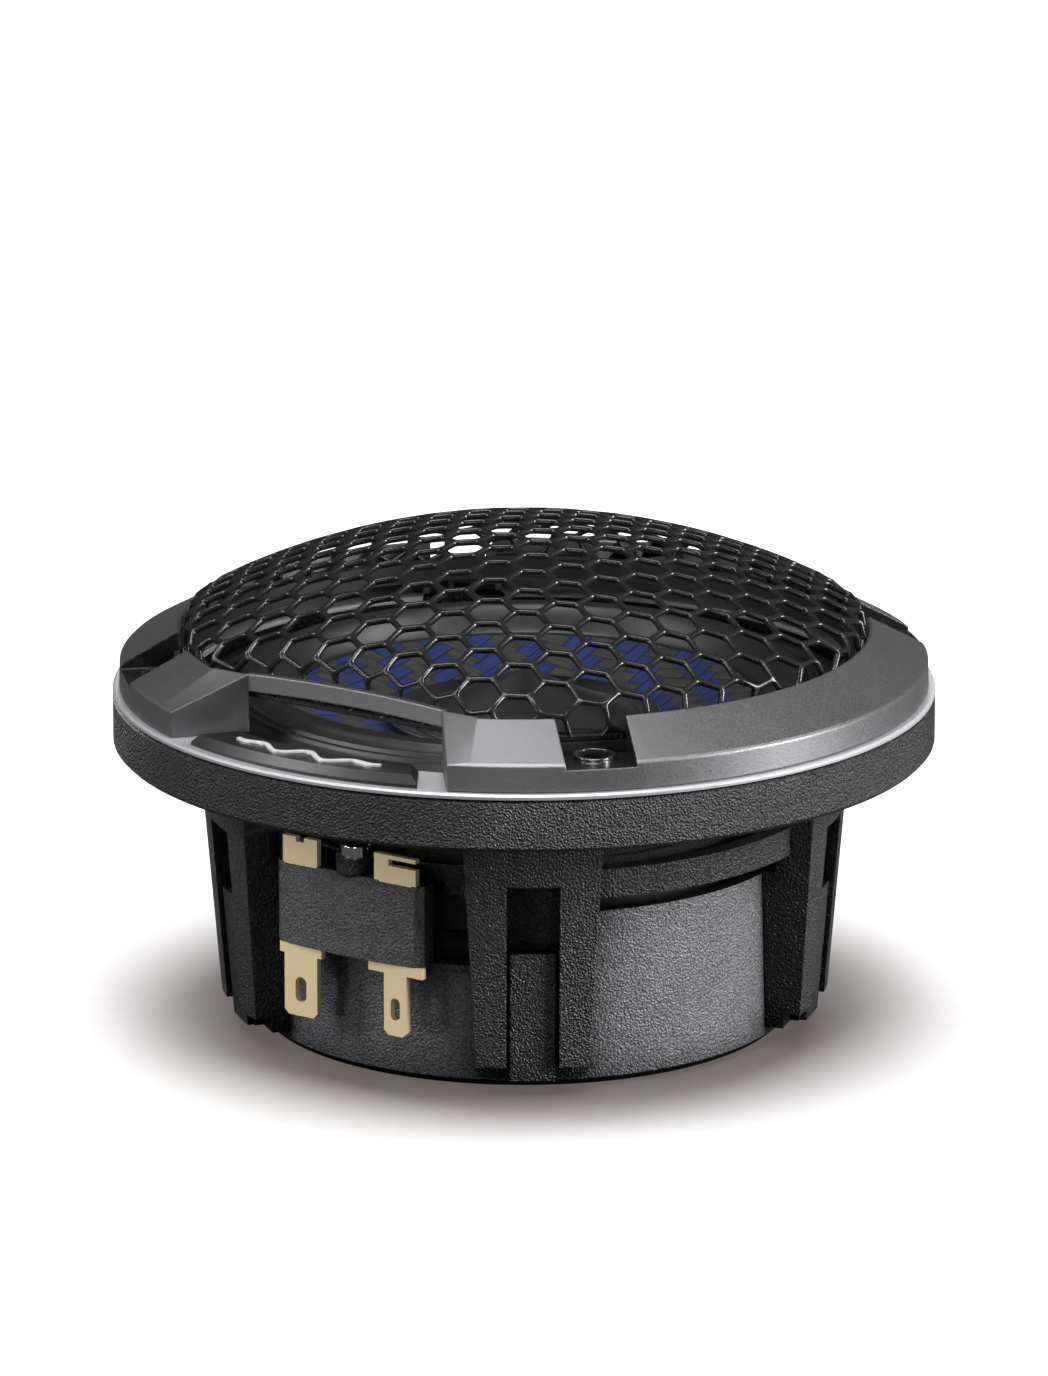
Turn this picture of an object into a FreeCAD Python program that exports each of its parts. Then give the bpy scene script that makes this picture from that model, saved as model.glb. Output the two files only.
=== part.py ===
import FreeCAD, Part
import math
import os

# Round midrange car speaker with a lift-off grille, lying on its back.
# Millimetres. The origin is the centre of the mounting face, which is the flange's
# back. +Z points to the listener, and the badge is towards -Y.

V = FreeCAD.Vector
Z_AXIS = V(0, 0, 1)
FIT = 0.05                    # gap between pieces that touch on the real object

# Flange and mounting holes
FLANGE_R = 50.0
FLANGE_T = 6.4
BORE_R = 38.0                 # opening in the flange that the surround moves in
SEAT_R = 41.2                 # recess that holds the surround's rim
SEAT_Z = 4.0
EAR_PCD_R = 44.35
EAR_ANGLES = (45, 135, 225, 315)
EAR_HOLE_R = 2.1
EAR_TIP_R = 4.3
EAR_ROOT_HALF = 5.2
EAR_RAISE = 0.5

# Ribs, spider shelf and floor of the basket
RIB_ANGLES = (-36, 36, 108, 180, 252)
RIB_TOP_R = 39.8
RIB_FOOT_R = 37.2
RIB_TOP_HALF = 8.4
RIB_FOOT_HALF = 6.6
RIB_UPPER_INNER_R = 34.6
RIB_FOOT_Z = -32.3
CHANNEL_HALF = 3.15
CHANNEL_TOP_Z = -7.5
CHANNEL_STEP_Z = -16.1
CHANNEL_DEEP = 2.2
CHANNEL_SHALLOW = 0.7
GROOVE_DEEP = 1.5             # narrow groove down each side of the shallow channel
GROOVE_W = 0.45
STRIP_END_RISE = 1.9
STRIP_END_DEEP = 2.6
SHELF_OUT_R = 36.5
SHELF_TOP_Z = -6.4
SHELF_LOW_Z = -9.9
SPIDER_SEAT_Z = -8.0
SPIDER_SEAT_IN_R = 31.0
SPIDER_SEAT_OUT_R = 34.4
FLOOR_TOP_Z = -10.3
FLOOR_LOW_Z = -12.3
FLOOR_IN_R = 20.5
FLOOR_OUT_R = 29.0
SPOKE_HALF = 5.5
SHELF_THIN_R = 35.0           # the shelf is cut back to here above the terminal block
ROOM_HALF = 17.5
BOSS_R = 2.3

# Motor
COVER_R = 33.0
COVER_WALL = 1.5
COVER_TOP_Z = -12.6
BASE_Z = -34.2
COVER_FLOOR_T = 1.6
POCKET_HALF = 13.9            # notch in the cover's wall behind the terminal block
POCKET_LOW_Z = -19.2
TOP_PLATE_R = 28.5
TOP_PLATE_T = 4.0
GAP_OUT_R = 13.9
MAGNET_R = 30.0
MAGNET_IN_R = 15.5
MAGNET_T = 11.0
YOKE_R = 29.5
POLE_R = 11.75
POLE_TOP_Z = -12.6
VENT_R = 4.0
MOTOR_SCREW_PCD_R = 24.5
COVER_SCREW_PCD_R = 21.0

# Moving system
COIL_R = 12.7
COIL_MID_Z = -14.3
COIL_H = 8.0
CONE_EDGE_R = 28.5
CONE_EDGE_Z = 5.1
CONE_NECK_R = 12.75
CONE_NECK_Z = 0.93
CONE_T = 0.4
CAP_RING_OUT_R = 16.75
CAP_R = 13.95
CAP_TIP_Z = 8.55
SPIDER_Z = -7.7
SPIDER_T = 0.4
SURROUND_OUT_R = 38.9
SURROUND_OUT_Z = 4.5
SURROUND_T = 0.45
ROLL_CREST_R = 32.1
ROLL_INNER_HALF = 2.8
ROLL_OUTER_HALF = 6.6
ROLL_RISE = 3.3
SURROUND_RIDGES = ((33.6, 0.75, 0.28), (35.15, 0.45, 0.3), (35.8, 0.4, 0.22), (38.2, 0.5, 0.3))
CONE_LIP_R = 29.2

# Trim ring and badge
TRIM_T = 0.6
TRIM_TOP = FLANGE_T + TRIM_T
BADGE_IN_R = 42.7
BADGE_OUT_R = 48.7
BADGE_TOP = TRIM_TOP + 1.4
EMBLEM_SPAN = 13.0            # degrees each side of the middle
EMBLEM_WAVES = 3
EMBLEM_SWING = 1.1
EMBLEM_HALF_LINE = 0.3
EMBLEM_T = 0.25

# Grille
FRAME_R = 49.2
FRAME_IN_R = 41.9
FRAME_FOOT = TRIM_TOP + 0.02
FRAME_WALL_TOP = FLANGE_T + 4.05
FRAME_TOP = FLANGE_T + 7.6
FRAME_LIP_R = 42.2
FRAME_SHOULDER_R = 48.8
WINDOW_ANGLE = 27.0           # crease where each side of the badge window begins
WINDOW_IN_X = 14.0
WINDOW_IN_Y = -37.4           # the front of the frame is straight here
WINDOW_OUT = (19.9, -44.9)
WINDOW_OUT_TOP = FLANGE_T + 3.8
CHEEK_T = 1.6
BAR_END_TOP = FLANGE_T + 7.7
BAR_ARCH = 0.45
BAR_H = 2.1
BAR_T = 0.9
NOTCH_HALF = 4.2
NOTCH_WALL = 0.9
NOTCH_FLOOR = FLANGE_T + 3.3
COLLAR_R = 2.5                # raised collar round each screw hole in the notch
COLLAR_H = 0.55
MESH_R = 41.6
MESH_T = 0.7
MESH_FLAT_Y = WINDOW_IN_Y + BAR_T + 0.1
MESH_RIM_Z = FLANGE_T + 9.0
MESH_RISE = 10.5
MESH_SKIRT_Z = FLANGE_T + 4.6
MESH_SHOULDER = 1.4
HEX_PITCH = 5.12
HEX_WEB = 0.75

# Terminals
BLOCK_HALF = 10.65
BLOCK_TOP_Z = -8.3
BLOCK_LOW_Z = -18.3
BLOCK_BACK_Y = -34.4
BLOCK_FRONT_Y = -38.0
TAB_Y = -37.1
TAB_T = 0.8
TAB_TIP_Z = -27.3


def polar(radius, angle_from_badge, z=0.0):
    """Point at a radius and an angle turned from -Y towards +X."""
    a = math.radians(angle_from_badge)
    return V(radius * math.sin(a), -radius * math.cos(a), z)


def polygon_face(points):
    return Part.Face(Part.makePolygon(points + [points[0]]))


def revolved(profile, start=0, sweep=360):
    """Turn an (r, z) outline about Z. The outline starts in the half-plane of -Y."""
    face = polygon_face([V(0, -r, z) for r, z in profile])
    if start:
        face.rotate(V(0, 0, 0), Z_AXIS, start)
    return face.revolve(V(0, 0, 0), Z_AXIS, sweep)


def ring(r_in, r_out, z_low, z_top):
    tube = Part.makeCylinder(r_out, z_top - z_low, V(0, 0, z_low))
    return tube.cut(Part.makeCylinder(r_in, z_top - z_low + 2, V(0, 0, z_low - 1)))


def prism(outline, z_low, z_top):
    """Extrude a plan outline of (x, y) points."""
    face = polygon_face([V(x, y, z_low) for x, y in outline])
    return face.extrude(V(0, 0, z_top - z_low))


def turned(shape, angle):
    copy = shape.copy()
    copy.rotate(V(0, 0, 0), Z_AXIS, angle)
    return copy


def fused(shapes):
    whole = shapes[0]
    for shape in shapes[1:]:
        whole = whole.fuse(shape)
    return whole.removeSplitter()


def skin(upper, lower):
    """Turned sheet between two smooth curves of (r, z) points with the same ends."""
    top = Part.BSplineCurve()
    top.interpolate([V(0, -r, z) for r, z in upper])
    bottom = Part.BSplineCurve()
    bottom.interpolate([V(0, -r, z) for r, z in lower])
    ends = []
    for (r_top, z_top), (r_low, z_low) in ((upper[0], lower[0]), (upper[-1], lower[-1])):
        ends.append(Part.makeLine(V(0, -r_top, z_top), V(0, -r_low, z_low)))
    wire = Part.Wire(Part.__sortEdges__([top.toShape(), ends[0], bottom.toShape(), ends[1]]))
    return Part.Face(wire).revolve(V(0, 0, 0), Z_AXIS, 360)


def ear_outline(grow=0.0):
    """Teardrop face round one ear hole, on -Y, wide side to the centre."""
    tip = EAR_TIP_R + grow
    root = EAR_ROOT_HALF + grow
    centre = V(0, -EAR_PCD_R, 0)
    slope = math.radians(9)
    side = V(tip * math.cos(slope), -EAR_PCD_R - tip * math.sin(slope), 0)
    far_side = V(-side.x, side.y, 0)
    root_y = -math.sqrt(SEAT_R ** 2 - root ** 2)
    arc = Part.Arc(side, V(0, centre.y - tip, 0), far_side).toShape()
    inner = Part.Arc(V(-root, root_y, 0), V(0, -SEAT_R, 0), V(root, root_y, 0)).toShape()
    left = Part.makeLine(far_side, V(-root, root_y, 0))
    right = Part.makeLine(V(root, root_y, 0), side)
    return Part.Face(Part.Wire([arc, left, inner, right]))


def make_flange():
    edge = 0.5
    body = revolved([
        (BORE_R, 0), (FLANGE_R - edge, 0), (FLANGE_R, edge), (FLANGE_R, FLANGE_T - edge),
        (FLANGE_R - edge, FLANGE_T), (SEAT_R, FLANGE_T), (SEAT_R, SEAT_Z), (BORE_R, SEAT_Z)])
    ear = ear_outline().extrude(V(0, 0, EAR_RAISE))
    ear.translate(V(0, 0, FLANGE_T))
    return [body] + [turned(ear, angle) for angle in EAR_ANGLES]


def make_rib():
    """Rib on -Y: a tapered piece of a cone shell with a channel down its face."""
    shell = revolved([
        (COVER_R + 2 * FIT, RIB_FOOT_Z), (RIB_FOOT_R, RIB_FOOT_Z), (RIB_TOP_R, 0),
        (RIB_UPPER_INNER_R, 0), (RIB_UPPER_INNER_R, FLOOR_LOW_Z), (COVER_R + 2 * FIT, FLOOR_LOW_Z)])
    outline = [V(-RIB_FOOT_HALF, 0, RIB_FOOT_Z), V(RIB_FOOT_HALF, 0, RIB_FOOT_Z),
               V(RIB_TOP_HALF, 0, 0), V(-RIB_TOP_HALF, 0, 0)]
    rib = polygon_face(outline).extrude(V(0, -RIB_TOP_R - 5, 0)).common(shell)
    slope = (RIB_TOP_R - RIB_FOOT_R) / -RIB_FOOT_Z

    def face_y(z, depth):
        return -(RIB_TOP_R + slope * z - depth)

    def channel(z_top, z_low, half, depth):
        side = [V(-half, face_y(z_top, depth), z_top), V(-half, face_y(z_low, depth), z_low),
                V(-half, -RIB_TOP_R - 3, z_low), V(-half, -RIB_TOP_R - 3, z_top)]
        return polygon_face(side).extrude(V(2 * half, 0, 0))

    rib = rib.cut(channel(CHANNEL_TOP_Z, CHANNEL_STEP_Z, CHANNEL_HALF, CHANNEL_DEEP))
    rib = rib.cut(channel(CHANNEL_STEP_Z, RIB_FOOT_Z - 1, CHANNEL_HALF, CHANNEL_SHALLOW))
    groove = channel(CHANNEL_STEP_Z, RIB_FOOT_Z - 1, GROOVE_W / 2, GROOVE_DEEP)
    for side in (-1, 1):
        cut = groove.copy()
        cut.translate(V(side * (CHANNEL_HALF - GROOVE_W / 2), 0, 0))
        rib = rib.cut(cut)
    # the two side strips stop short of the foot
    strip_half = 2.2
    strip = channel(RIB_FOOT_Z + STRIP_END_RISE, RIB_FOOT_Z - 1, strip_half, STRIP_END_DEEP)
    for side in (-1, 1):
        cut = strip.copy()
        cut.translate(V(side * (CHANNEL_HALF + strip_half), 0, 0))
        rib = rib.cut(cut)
    return rib


def make_basket():
    ribs = [turned(make_rib(), angle) for angle in RIB_ANGLES]
    shelf = revolved([
        (SPIDER_SEAT_OUT_R, SHELF_TOP_Z), (SPIDER_SEAT_OUT_R, SPIDER_SEAT_Z),
        (SPIDER_SEAT_IN_R, SPIDER_SEAT_Z), (SPIDER_SEAT_IN_R, SHELF_LOW_Z),
        (SHELF_OUT_R, SHELF_LOW_Z), (SHELF_OUT_R, SHELF_TOP_Z)])
    floor = ring(FLOOR_IN_R, FLOOR_OUT_R, FLOOR_LOW_Z, FLOOR_TOP_Z)
    spoke_length = RIB_UPPER_INNER_R + 1 - (FLOOR_OUT_R - 2)
    spoke = Part.makeBox(2 * SPOKE_HALF, spoke_length, FLOOR_TOP_Z - FLOOR_LOW_Z,
                         V(-SPOKE_HALF, -RIB_UPPER_INNER_R - 1, FLOOR_LOW_Z))
    spokes = [turned(spoke, angle) for angle in RIB_ANGLES]
    basket = fused(make_flange() + ribs + [shelf, floor] + spokes)
    for angle in EAR_ANGLES:
        at = polar(EAR_PCD_R, angle)
        basket = basket.cut(Part.makeCylinder(EAR_HOLE_R, 20, V(at.x, at.y, -5)))
    for angle in EAR_ANGLES:
        at = polar(MOTOR_SCREW_PCD_R, angle)
        basket = basket.cut(Part.makeCylinder(1.6, 5, V(at.x, at.y, FLOOR_LOW_Z - 1)))
        basket = basket.cut(Part.makeCone(1.6, 3.1, 1.5, V(at.x, at.y, FLOOR_TOP_Z - 1.5)))
    # between the front ribs the shelf is thinned, with a boss for the terminal block's screw
    thinned = ring(SHELF_THIN_R, SHELF_OUT_R + 1, SHELF_LOW_Z - 1, SHELF_TOP_Z + 1)
    window = prism([(0, 0), (-ROOM_HALF, -42), (ROOM_HALF, -42)], SHELF_LOW_Z - 1, SHELF_TOP_Z + 1)
    basket = basket.cut(thinned.common(window))
    boss = Part.makeCylinder(BOSS_R, SHELF_TOP_Z - BLOCK_TOP_Z, V(0, -35.4, BLOCK_TOP_Z))
    bore = Part.makeCylinder(SPIDER_SEAT_OUT_R, 10, V(0, 0, BLOCK_TOP_Z - 1))
    basket = basket.fuse(boss.cut(bore)).removeSplitter()
    room = Part.makeBox(2 * BLOCK_HALF + 1.2, 10, 6, V(-BLOCK_HALF - 0.6, -42, BLOCK_TOP_Z + FIT - 6))
    basket = basket.cut(room)
    basket = basket.cut(Part.makeCylinder(1.05, 6, V(0, -35.4, SHELF_TOP_Z - 4)))
    return basket


def make_motor_cover():
    edge = 0.9
    inner = COVER_R - COVER_WALL
    floor_top = BASE_Z + COVER_FLOOR_T
    cover = revolved([
        (VENT_R + 1, BASE_Z), (COVER_R - edge, BASE_Z), (COVER_R, BASE_Z + edge), (COVER_R, COVER_TOP_Z),
        (inner, COVER_TOP_Z), (inner, floor_top), (VENT_R + 1, floor_top)])
    pocket = Part.makeBox(2 * POCKET_HALF, 12, 12, V(-POCKET_HALF, -COVER_R - 4, POCKET_LOW_Z))
    cover = cover.cut(pocket)
    groove = revolved([(27.0, BASE_Z - 1), (28.0, BASE_Z - 1), (28.0, BASE_Z + 0.5), (27.0, BASE_Z + 0.5)])
    cover = cover.cut(groove)
    for angle in (60, 180, 300):
        at = polar(COVER_SCREW_PCD_R, angle)
        cover = cover.cut(Part.makeCylinder(1.4, 5, V(at.x, at.y, BASE_Z - 1)))
        cover = cover.cut(Part.makeCylinder(2.7, 2, V(at.x, at.y, BASE_Z - 1)))
    return cover


def make_cover_screws():
    screws = []
    head_low = BASE_Z + 0.1
    head_top = BASE_Z + 1.0
    for angle in (60, 180, 300):
        at = polar(COVER_SCREW_PCD_R, angle)
        head = Part.makeCylinder(2.4, head_top - head_low, V(at.x, at.y, head_low))
        shank = Part.makeCylinder(1.25, 5, V(at.x, at.y, head_top - 0.1))
        screw = head.fuse(shank).removeSplitter()
        for turn in (0, 90):
            slot = Part.makeBox(2.6, 0.6, 0.5, V(-1.3, -0.3, 0))
            slot.rotate(V(0, 0, 0), Z_AXIS, turn)
            slot.translate(V(at.x, at.y, head_low - 0.05))
            screw = screw.cut(slot)
        screws.append(screw)
    return screws


def plate_top():
    return FLOOR_LOW_Z - 0.02


def make_top_plate():
    plate = ring(GAP_OUT_R, TOP_PLATE_R, plate_top() - TOP_PLATE_T, plate_top())
    for angle in EAR_ANGLES:
        at = polar(MOTOR_SCREW_PCD_R, angle)
        plate = plate.cut(Part.makeCylinder(1.53, 6, V(at.x, at.y, plate_top() - 5)))
    return plate


def make_magnet():
    top = plate_top() - TOP_PLATE_T
    edge = 0.8
    low = top - MAGNET_T
    return revolved([
        (MAGNET_IN_R, low), (MAGNET_R - edge, low), (MAGNET_R, low + edge),
        (MAGNET_R, top - edge), (MAGNET_R - edge, top), (MAGNET_IN_R, top)])


def make_t_yoke():
    top = plate_top() - TOP_PLATE_T - MAGNET_T
    low = BASE_Z + COVER_FLOOR_T + 0.1
    yoke = revolved([
        (VENT_R, low), (YOKE_R, low), (YOKE_R, top), (POLE_R, top),
        (POLE_R, POLE_TOP_Z), (VENT_R + 1.5, POLE_TOP_Z), (VENT_R, POLE_TOP_Z - 2)])
    for angle in (60, 180, 300):
        at = polar(COVER_SCREW_PCD_R, angle)
        yoke = yoke.cut(Part.makeCylinder(1.27, 5, V(at.x, at.y, low - 0.5)))
    return yoke


def make_motor_screws():
    screws = []
    for angle in EAR_ANGLES:
        at = polar(MOTOR_SCREW_PCD_R, angle)
        head = Part.makeCone(1.5, 2.95, 1.45, V(at.x, at.y, FLOOR_TOP_Z - 1.45))
        shank = Part.makeCylinder(1.5, 4.6, V(at.x, at.y, FLOOR_TOP_Z - 6.0))
        socket = Part.makeCylinder(0.9, 1.0, V(at.x, at.y, FLOOR_TOP_Z - 0.9))
        screws.append(head.fuse(shank).removeSplitter().cut(socket))
    return screws


def make_trim_ring():
    bevel = 0.25
    trim = revolved([
        (SEAT_R + 0.1, FLANGE_T), (FLANGE_R, FLANGE_T), (FLANGE_R, TRIM_TOP - bevel),
        (FLANGE_R - bevel, TRIM_TOP), (SEAT_R + 0.1 + bevel, TRIM_TOP), (SEAT_R + 0.1, TRIM_TOP - bevel)])
    window = ear_outline(0.15).extrude(V(0, 0, 3))
    window.translate(V(0, 0, FLANGE_T - 1))
    root = EAR_ROOT_HALF + 0.15
    inner = Part.makeBox(2 * root, 3, 3, V(-root, -SEAT_R - 0.2, FLANGE_T - 1))
    for angle in EAR_ANGLES:
        trim = trim.cut(turned(window, angle))
        trim = trim.cut(turned(inner, angle))
    return trim


def badge_outline(inset, z):
    """Closed wire of the badge: a curved bar whose ends slant."""
    r_in = BADGE_IN_R + inset
    r_out = BADGE_OUT_R - inset
    trim_angle = math.degrees(inset / r_in)
    a_in = 17.6 - trim_angle
    a_out = 19.6 - trim_angle
    outer = Part.Arc(polar(r_out, -a_out, z), polar(r_out, 0, z), polar(r_out, a_out, z)).toShape()
    inner = Part.Arc(polar(r_in, a_in, z), polar(r_in, 0, z), polar(r_in, -a_in, z)).toShape()
    right = Part.makeLine(polar(r_out, a_out, z), polar(r_in, a_in, z))
    left = Part.makeLine(polar(r_in, -a_in, z), polar(r_out, -a_out, z))
    return Part.Wire([outer, right, inner, left])


def make_badge():
    foot = Part.Face(badge_outline(0, TRIM_TOP)).extrude(V(0, 0, 0.4))
    bevel = Part.makeLoft([badge_outline(0, TRIM_TOP + 0.4), badge_outline(0.8, BADGE_TOP)], True)
    return foot.fuse(bevel).removeSplitter()


def make_badge_emblem():
    """Flat wave line along the badge, tallest in the middle."""
    mid_r = (BADGE_IN_R + BADGE_OUT_R) / 2 + 0.1
    steps = 120
    upper = []
    lower = []
    for i in range(steps + 1):
        t = -1 + 2 * i / steps
        fade = math.cos(t * math.pi / 2)
        swing = EMBLEM_SWING * fade * math.cos(t * math.pi * EMBLEM_WAVES)
        rise = math.pi * EMBLEM_WAVES * EMBLEM_SWING * fade * math.sin(t * math.pi * EMBLEM_WAVES)
        steep = rise / (math.radians(EMBLEM_SPAN) * mid_r)
        width = EMBLEM_HALF_LINE * math.sqrt(1 + steep ** 2)
        upper.append(polar(mid_r - swing - width, t * EMBLEM_SPAN, BADGE_TOP))
        lower.append(polar(mid_r - swing + width, t * EMBLEM_SPAN, BADGE_TOP))
    return polygon_face(upper + lower[::-1]).extrude(V(0, 0, EMBLEM_T))


def make_clamp_ring():
    low = SEAT_Z + SURROUND_T + 0.02
    top = 5.3
    return revolved([
        (SURROUND_OUT_R + 0.1, low), (SEAT_R - 0.1, low), (SEAT_R - 0.1, top - 0.2),
        (SEAT_R - 0.3, top), (SURROUND_OUT_R + 0.5, top), (SURROUND_OUT_R + 0.1, top - 0.5)])


def surround_height(r):
    """Top of the surround: a flat glued band, one tall roll and the ridges on it."""
    share = (r - CONE_EDGE_R) / (SURROUND_OUT_R - CONE_EDGE_R)
    height = CONE_EDGE_Z + share * (SURROUND_OUT_Z - CONE_EDGE_Z)
    away = (r - ROLL_CREST_R) / (ROLL_OUTER_HALF if r > ROLL_CREST_R else ROLL_INNER_HALF)
    if abs(away) < 1:
        height += ROLL_RISE * math.cos(away * math.pi / 2) ** 1.3
    for centre, half, rise in SURROUND_RIDGES:
        away = abs(r - centre) / half
        if away < 1:
            height += rise * math.cos(away * math.pi / 2) ** 2
    return height


def make_surround():
    rim_top = SEAT_Z + SURROUND_T
    steps = 80
    inner = CONE_EDGE_R + FIT
    upper = []
    for i in range(steps + 1):
        r = inner + i * (SURROUND_OUT_R - inner) / steps
        upper.append((r, surround_height(r)))
    lower = [(r, z - SURROUND_T) for r, z in upper]
    sheet = skin(upper, lower)
    rim = revolved([
        (SURROUND_OUT_R, upper[-1][1] - SURROUND_T), (SURROUND_OUT_R, upper[-1][1]),
        (SURROUND_OUT_R + 0.08, rim_top), (SEAT_R - FIT, rim_top), (SEAT_R - FIT, SEAT_Z),
        (SURROUND_OUT_R + 0.08, SEAT_Z)])
    return sheet.fuse(rim).removeSplitter()


def cone_height(r):
    slope = (CONE_EDGE_Z - CONE_NECK_Z) / (CONE_EDGE_R - CONE_NECK_R)
    return CONE_NECK_Z + slope * (r - CONE_NECK_R)


def make_cone():
    lip_top = surround_height(CONE_LIP_R) - SURROUND_T - 0.05
    lip_start = CONE_EDGE_R + FIT
    return revolved([
        (CONE_NECK_R, CONE_NECK_Z), (CONE_EDGE_R, CONE_EDGE_Z), (CONE_EDGE_R, lip_top),
        (CONE_LIP_R, lip_top), (CONE_LIP_R, lip_top - CONE_T), (lip_start, lip_top - CONE_T - 0.1),
        (CONE_NECK_R, CONE_NECK_Z - CONE_T)])


def make_cap_ring():
    """Band round the dust cap whose face slopes down towards the centre."""
    gap = 0.04
    outer_top = 3.15
    inner_top = 2.5
    bevel = 0.3
    return revolved([
        (CAP_R + FIT, cone_height(CAP_R) + gap), (CAP_RING_OUT_R, cone_height(CAP_RING_OUT_R) + gap),
        (CAP_RING_OUT_R, outer_top - bevel), (CAP_RING_OUT_R - bevel, outer_top),
        (CAP_R + 0.5, inner_top), (CAP_R + FIT, inner_top - 0.25)])


def make_cap_cone():
    edge_z = 2.45
    return revolved([
        (0, CAP_TIP_Z), (CAP_R, edge_z), (CAP_R, 1.32), (CAP_R - 0.5, 1.2),
        (CAP_R - 0.5, edge_z - 0.4), (0, CAP_TIP_Z - 0.6)])


def make_former():
    return ring(COIL_R - 0.25, COIL_R, COIL_MID_Z - COIL_H / 2 - 0.7, CONE_NECK_Z - 0.05)


def make_winding():
    return ring(COIL_R + 0.02, COIL_R + 0.62, COIL_MID_Z - COIL_H / 2, COIL_MID_Z + COIL_H / 2)


def make_spider():
    """Corrugated disc: a flat glued rim, seven rolls and a short collar."""
    rolls = 7
    inner = COIL_R + 0.05
    roll_in = inner + 1.0
    roll_out = SPIDER_SEAT_IN_R - 0.3
    steps = rolls * 8
    upper = []
    for i in range(steps + 1):
        r = roll_in + (roll_out - roll_in) * i / steps
        upper.append((r, SPIDER_Z + 0.55 * math.sin(math.pi * 2 * rolls * i / steps)))
    lower = [(r, z - SPIDER_T) for r, z in upper]
    rim_low = SPIDER_SEAT_Z + 0.02
    step = revolved([
        (roll_out, SPIDER_Z - SPIDER_T), (roll_out + 0.3, rim_low), (roll_out + 0.3, rim_low + SPIDER_T),
        (roll_out, SPIDER_Z)])
    flat = ring(roll_out + 0.3, SPIDER_SEAT_OUT_R - FIT, rim_low, rim_low + SPIDER_T)
    collar = revolved([
        (inner, SPIDER_Z - 1.0), (inner + 0.5, SPIDER_Z - 0.9), (roll_in, SPIDER_Z - SPIDER_T),
        (roll_in, SPIDER_Z), (inner, SPIDER_Z + 0.1)])
    return fused([skin(upper, lower), step, flat, collar])


def make_lead(side):
    """Braided lead from a terminal's upper end to the cone, on one side of -Y."""
    path = Part.BSplineCurve()
    path.interpolate([
        V(side * 6.6, TAB_Y + TAB_T + 0.1, -5.7), V(side * 6.6, -31.5, -5.0), V(side * 6.2, -25.5, -3.6),
        V(side * 5.6, -19.5, -1.6), V(side * 5.2, -16.2, 0.35)])
    start = path.value(path.FirstParameter)
    heading = path.tangent(path.FirstParameter)[0]
    circle = Part.Wire(Part.makeCircle(0.45, start, heading))
    return Part.Wire(path.toShape()).makePipeShell([circle], True, False)


def make_shorting_sleeve():
    return ring(POLE_R + 0.02, POLE_R + 0.3, -20.3, POLE_TOP_Z)


def make_terminal_block():
    front_edge = BLOCK_FRONT_Y + 0.8
    bevel = 0.9
    outline = []
    for x in (-7, -3.5, 0, 3.5, 7):
        outline.append((x, BLOCK_FRONT_Y + 0.8 * (x / (BLOCK_HALF - bevel)) ** 2))
    outline += [(BLOCK_HALF - bevel, front_edge), (BLOCK_HALF, front_edge + bevel)]
    outline += [(BLOCK_HALF, BLOCK_BACK_Y), (-BLOCK_HALF, BLOCK_BACK_Y)]
    outline += [(-BLOCK_HALF, front_edge + bevel), (-BLOCK_HALF + bevel, front_edge)]
    block = prism(outline, BLOCK_LOW_Z, BLOCK_TOP_Z)
    top_bevel = polygon_face([
        V(-15, BLOCK_FRONT_Y - 1, BLOCK_TOP_Z - 2.0), V(-15, BLOCK_FRONT_Y - 1, BLOCK_TOP_Z + 1),
        V(-15, BLOCK_FRONT_Y + 2.0, BLOCK_TOP_Z + 1)]).extrude(V(30, 0, 0))
    block = block.cut(top_bevel)
    for side in (-1, 1):
        block = block.cut(tab_plate(side, FIT))
    block = block.cut(Part.makeCylinder(1.03, 6, V(0, -35.4, BLOCK_TOP_Z - 5)))
    return block


def tab_plate(side, grow=0.0):
    """Flat tab outline: blade, shoulders, stem through the block and hooked top."""
    blade = 2.4 if side < 0 else 1.65
    shoulder = 3.05 if side < 0 else 3.9
    stem = 2.3
    top = 2.5 if side < 0 else 3.0
    top_z = -5.0
    corner = 0.6
    shoulder_low = BLOCK_LOW_Z - 1.35
    half = [
        (blade - corner, TAB_TIP_Z), (blade, TAB_TIP_Z + corner), (blade, shoulder_low),
        (shoulder, shoulder_low), (shoulder, BLOCK_LOW_Z), (stem, BLOCK_LOW_Z),
        (stem, BLOCK_TOP_Z), (top, BLOCK_TOP_Z), (top, top_z)]
    middle = side * 6.9
    front = TAB_Y - grow
    right = [V(middle + x + (grow if x == stem else 0), front, z) for x, z in half]
    left = [V(middle - x - (grow if x == stem else 0), front, z) for x, z in half[::-1]]
    return polygon_face(right + left).extrude(V(0, TAB_T + 2 * grow, 0))


def make_tab(side):
    tab = tab_plate(side)
    middle = side * 6.9
    slot_half = 0.8 if side < 0 else 0.65
    slot_mid = TAB_TIP_Z + 3.3
    reach = 0.75
    for z in (slot_mid - reach, slot_mid + reach):
        tab = tab.cut(Part.makeCylinder(slot_half, 4, V(middle, TAB_Y - 1, z), V(0, 1, 0)))
    slot_corner = V(middle - slot_half, TAB_Y - 1, slot_mid - reach)
    tab = tab.cut(Part.makeBox(2 * slot_half, 4, 2 * reach, slot_corner))
    # hook cut in the upper end, where the lead is soldered
    hook_x = middle - 0.6 if side < 0 else middle - 0.9
    hook_low = -5.6 if side < 0 else -6.3
    hook_width = 1.2 if side < 0 else 6.0
    tab = tab.cut(Part.makeBox(hook_width, 4, 0.8, V(hook_x, TAB_Y - 1, hook_low)))
    if side < 0:
        tab = tab.cut(Part.makeBox(0.5, 4, 2, V(middle - 0.25, TAB_Y - 1, hook_low)))
    return tab


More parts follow.
